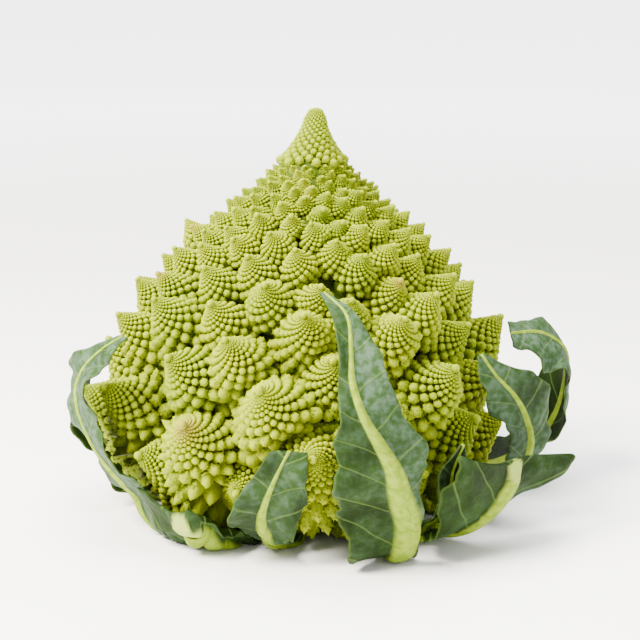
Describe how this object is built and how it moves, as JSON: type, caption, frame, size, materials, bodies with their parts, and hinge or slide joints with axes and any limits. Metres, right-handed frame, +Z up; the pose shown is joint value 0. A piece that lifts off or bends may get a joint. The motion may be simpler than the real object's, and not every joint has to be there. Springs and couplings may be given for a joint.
{
  "type": "romanesco head",
  "caption": "Romanesco head: a pointed curd of spiralling cone-shaped florets on a short cut stalk, cradled by trimmed leaves.",
  "frame": {"origin": "centre of the stalk's flat cut face", "axes": "+Z up along the stalk towards the curd's tip, -Y towards the side with the large upright leaf, +X to the right as seen from that side"},
  "size_m": [0.1931, 0.1826, 0.15],
  "materials": {
    "curd": "matt lime-green florets",
    "stalk": "pale green stalk, moist cut face",
    "leaf": "waxy blue-green leaf with paler rib"
  },
  "bodies": {
    "root": {"curd": "curd", "stalk": "stalk", "leaf_front": "leaf", "leaf_front_left": "leaf", "leaf_left": "leaf", "leaf_left_trimmed": "leaf", "leaf_right_trimmed": "leaf", "leaf_right": "leaf", "leaf_right_folded": "leaf", "leaf_young": "leaf", "leaf_back_right": "leaf", "leaf_back": "leaf", "leaf_back_left": "leaf", "leaf_side": "leaf"}
  },
  "joints": []
}
